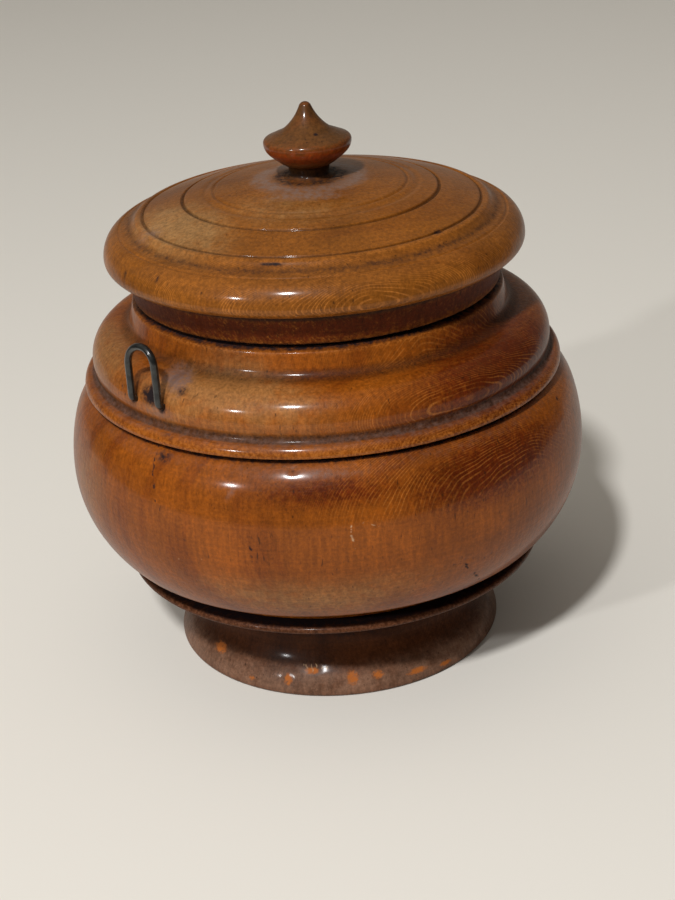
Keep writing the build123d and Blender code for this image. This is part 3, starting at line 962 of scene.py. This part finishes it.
class Wood(Recipe):
    """Old polished wood with its growth rings facing rings_face, in degrees right of the front."""

    def __init__(self, name, rings_face):
        super().__init__(bpy.data.materials.new(name))
        self.place = self.place_in_mm()
        self.log = Log(self, self.place, rings_face)
        self.specks = self.noise(self.place, 1.5, 3.0, 0.75)
        outline = self.node("CombineXYZ", {0: self.vector("LENGTH", self.log.radial), 1: self.log.up})
        self.turning_marks = self.noise(outline.outputs[0], 1.3, 2.0)

    def ragged(self, layer, low, high, grain=1.1):
        """A painted layer with its soft edge broken up."""
        uneven = self.noise(self.place, grain, 3.0, 0.7)
        breaks = self.math("MULTIPLY_ADD", uneven, RAGGEDNESS, 1 - RAGGEDNESS / 2)
        return self.step(self.math("MULTIPLY", self.layer(layer), breaks), low, high)

    def laid_flat(self):
        """The surface as a map: degrees right of the front, and height in mm."""
        axes = self.node("SeparateXYZ", {0: self.place}).outputs
        side = self.math("ARCTAN2", axes[0], self.math("MULTIPLY", axes[1], -1.0))
        flat = self.node("CombineXYZ", {0: self.math("DEGREES", side), 1: axes[2]}).outputs[0]
        return self.vector("ADD", flat, self.wander(self.place, 0.5, 1.0))

    def scratches(self, runs, width):
        """1 on thin broken lines on the map, each from one place to another."""
        flat = self.laid_flat()
        gaps = self.step(self.noise(flat, 0.9, 2.0), 0.42, 0.62, 0.0, width)
        nearest = None
        for start, end in runs:
            start, end = Vector((*start, 0)), Vector((*end, 0))
            run = end - start
            away = self.vector("SUBTRACT", flat, start[:])
            share = self.math("DIVIDE", self.vector("DOT_PRODUCT", away, run[:]), run.length_squared)
            along = self.scaled(run[:], self.node("Clamp", {0: share}).outputs[0])
            gap = self.vector("LENGTH", self.vector("SUBTRACT", away, along))
            nearest = gap if nearest is None else self.math("MINIMUM", nearest, gap)
        return self.step(self.math("ADD", nearest, gaps), 0.0, width, 1.0, 0.0)

    def cover(self, share, colour):
        self.colour = self.mix(share, self.colour, colour)

    def grow(
        self,
        orange,
        red,
        pale,
        faded_and_sheen=FADED_AND_SHEEN,
        lines=0.5,
        bands=0.5,
        facing=(0.60, 0.92),
        fades=(-1.0, 0.0),
        red_hides_lines=0.3,
    ):
        """Clean wood. Its ring lines come in between two values of facing, where 1 is straight along
        the rings, and between the two heights of fades."""
        self.pale = pale
        band = self.grain(self.log.place, (0.16, 0.03, 0.025), 3.0, 0.6)
        # Redder wood, and on the collar and the right of the shoulder partly painted shade
        redness_and_shade = self.ragged("redness_and_shade", 0.1, 1.2)
        redder = self.math("MAXIMUM", self.step(band, 0.46, 0.68, 0.0, bands), redness_and_shade)
        self.colour = self.mix(redder, orange, red)
        self.rings = ring_lines(self, self.log, facing, fades)
        not_hidden = self.between(redness_and_shade, 1.0, 1 - red_hides_lines)
        self.cover(self.math("MULTIPLY", self.math("MULTIPLY", self.rings, lines), not_hidden), pale)
        # Paler: dry polish, and painted sheen, reflections and lamp light
        self.cover(self.ragged("faded_and_sheen", 0.1, 1.2, 0.3), faded_and_sheen)

        fibres = self.grain(self.place, (1.1, 1.1, 0.10), 3.0, 0.6)
        clouds = self.noise(self.place, 0.05, 3.0)
        for pattern, darkest, lightest in (
            (fibres, 0.84, 1.14),
            (self.specks, 0.80, 1.18),
            (self.turning_marks, 0.93, 1.06),
            (clouds, 0.84, 1.14),
        ):
            factor = self.step(pattern, *NOISE_RANGE, darkest, lightest)
            self.colour = self.mix(1.0, self.colour, factor, "MULTIPLY")
        ticks = self.grain(self.place, (1.5, 1.5, 0.35), 1.0)
        self.cover(self.step(ticks, 0.68, 0.80, 0.0, 0.6), DIRT_AND_SHADE_BLACK)

    def age(self, film_and_sheen=GREY_FILM_AND_SHEEN, bare=BARE_WOOD_AND_GLINT, cracks=(), scores_and_glints=()):
        """Dirt and painted shade in the hollows, wear and marks, each over the one before it."""
        in_hollows = self.step(self.layer("hollow"), 0.05, 0.8)
        self.dirt_and_shade = self.math("MULTIPLY", in_hollows, self.step(self.specks, 0.2, 0.6, 1.0, 0.75))
        on_edges = self.step(self.layer("edge"), 0.35, 1.0)
        self.scuff = self.ragged("scuff", 0.35, 0.85)
        # Stains, and the belts and ovals of painted shade
        self.stain_and_shade = self.ragged("stain_and_shade", 0.25, 0.95, 0.8)
        if cracks:
            self.stain_and_shade = self.math("MAXIMUM", self.stain_and_shade, self.scratches(cracks, CRACK_WIDTH))
        self.cover(self.dirt_and_shade, DIRT_AND_SHADE_BLACK)
        self.cover(self.math("MULTIPLY", on_edges, self.step(self.specks, 0.4, 0.65, 0.0, 0.5)), self.pale)
        # Grey film, partly real dirt and partly a painted sheen
        self.cover(self.ragged("grime_and_sheen", 0.25, 1.3, 0.8), film_and_sheen)
        self.cover(self.scuff, bare)
        # Pale scores of bare wood; on the foot they are partly painted glints
        if scores_and_glints:
            self.cover(self.scratches(scores_and_glints, SCORE_WIDTH), BARE_WOOD_AND_GLINT)
        self.cover(self.stain_and_shade, STAIN_AND_SHADE_INK)

    def polish(self, gloss=0.32):
        """Old wax, dull on dirt and painted shade in hollows, scuffs, stains and painted shade, and where
        it is matt.
        """
        dull = self.dirt_and_shade
        for layer in (self.scuff, self.stain_and_shade, self.layer("matt")):
            dull = self.math("MAXIMUM", dull, layer)
        dull = self.math("MINIMUM", dull, 1.0)
        rubbed = self.noise(self.place, 0.7, 2.0, 0.6)
        pores = self.noise(self.place, 3.2, 2.0, 0.6)
        height = 0.0
        for pattern, rise in (
            (self.specks, 0.060),
            (rubbed, 0.085),
            (pores, 0.022),
            (self.rings, 0.006),
            (self.turning_marks, 0.02),
            (self.stain_and_shade, -0.06),
            (self.scuff, -0.03),
        ):
            height = self.math("MULTIPLY_ADD", pattern, rise, height)
        self.shade(
            Base_Color=self.colour,
            Roughness=self.between(dull, CLEAN_ROUGHNESS, DULL_ROUGHNESS),
            Specular_IOR_Level=0.08,
            Coat_Weight=self.between(dull, gloss, (1 - GLOSS_LOST) * gloss),
            Coat_Roughness=COAT_ROUGHNESS,
            Normal=self.bump(height),
        )


# %% [markdown]
# The bowl and the shoulder were turned from one blank, because their rings lie level at the
# same place, right of the front. The lid is a plainer tan brown, and shows its ring lines
# only on the rim. The foot and the knob are small and dark, and their rings hardly show.
# Cracks and scores lie between places on the surface, in degrees right of the front and mm
# of height. The pale scores on the foot are partly painted glints.

# %% The four woods
PALE_LINE = rgb(0.38, 0.13, 0.022)
BOWL_CRACKS = [
    ((-41.9, 67.0), (-39.2, 56.7)),
    ((-17.2, 50.0), (-17.0, 46.6)),
    ((25.0, 40.4), (28.5, 39.2)),
    ((28.0, 39.0), (34.5, 31.8)),
]
BOWL_SCORES = [
    ((3.3, 54.6), (3.6, 49.4)),
    ((7.6, 54.4), (9.0, 53.9)),
]
# Pale scores on the foot, partly painted glints of the lamp's crackled highlight
FOOT_SCORES_AND_GLINTS = [
    ((-15.0, 6.6), (-13.4, 5.9)),
    ((-12.0, 6.5), (-11.2, 5.6)),
    ((-10.4, 6.6), (-9.2, 5.5)),
    ((-8.4, 6.5), (-7.4, 5.5)),
    ((-7.2, 5.5), (-5.6, 6.2)),
]

body_wood = Wood("body_wood", rings_face=42)
body_wood.grow(
    orange=rgb(0.215, 0.054, 0.0035),
    red=rgb(0.090, 0.013, 0.001),
    pale=PALE_LINE,
    lines=0.6,
    fades=(52.0, 60.0),
)
body_wood.age(cracks=BOWL_CRACKS, scores_and_glints=BOWL_SCORES)
body_wood.polish()

lid_wood = Wood("lid_wood", rings_face=12)
lid_wood.grow(
    orange=rgb(0.200, 0.064, 0.007),
    red=rgb(0.075, 0.012, 0.001),
    pale=PALE_LINE,
    faded_and_sheen=rgb(0.27, 0.135, 0.045),
    lines=0.8,
    bands=0.25,
    facing=(0.1, 0.6),
    fades=(107.0, 103.0),
    red_hides_lines=1.0,
)
lid_wood.age(film_and_sheen=rgb(0.20, 0.125, 0.095))
lid_wood.polish()

foot_wood = Wood("foot_wood", rings_face=60)
foot_wood.grow(
    orange=rgb(0.062, 0.018, 0.005),
    red=rgb(0.024, 0.006, 0.002),
    pale=rgb(0.17, 0.070, 0.035),
    faded_and_sheen=rgb(0.17, 0.088, 0.054),
    lines=0.1,
)
foot_wood.age(bare=rgb(0.34, 0.10, 0.02), scores_and_glints=FOOT_SCORES_AND_GLINTS)
foot_wood.polish(gloss=0.10)

knob_wood = Wood("knob_wood", rings_face=0)
knob_wood.grow(
    orange=rgb(0.105, 0.040, 0.009),
    red=rgb(0.19, 0.028, 0.003),
    pale=rgb(0.19, 0.045, 0.008),
    lines=0.1,
    bands=0.2,
)
knob_wood.age()
knob_wood.polish(gloss=0.45)

WOODS = {
    "foot": foot_wood,
    "bowl": body_wood,
    "shoulder": body_wood,
    "lid": lid_wood,
    "knob": knob_wood,
}
for name, material in WOODS.items():
    pieces[name].data.materials.append(material.owner)
    print(pieces[name].name, "is made of", material.owner.name)

# %% [markdown]
# The wire is soft iron with its black fire scale rubbed to a dull greenish shine, and waxed
# along with the wood, which gives it one small bright glint.


# %% Black iron
BLACK_SCALE = rgb(0.010, 0.010, 0.010)
RUBBED_SCALE = rgb(0.028, 0.030, 0.028)
IRON_DENTS = 0.03


def black_iron():
    recipe = Recipe(bpy.data.materials.new("iron_wire"))
    place = recipe.place_in_mm()
    scale = recipe.noise(place, 0.6, 2.0, 0.55)
    dents = recipe.noise(place, 1.5, 2.0)
    colour = recipe.mix(recipe.step(scale, 0.35, 0.65), BLACK_SCALE, RUBBED_SCALE)
    recipe.shade(
        Base_Color=colour,
        Metallic=0.6,
        Roughness=recipe.step(scale, 0.3, 0.7, 0.36, 0.28),
        Coat_Weight=0.6,
        Coat_Roughness=0.15,
        Normal=recipe.bump(recipe.math("MULTIPLY", dents, IRON_DENTS)),
    )
    return recipe.owner


pieces["loop"].data.materials.append(black_iron())
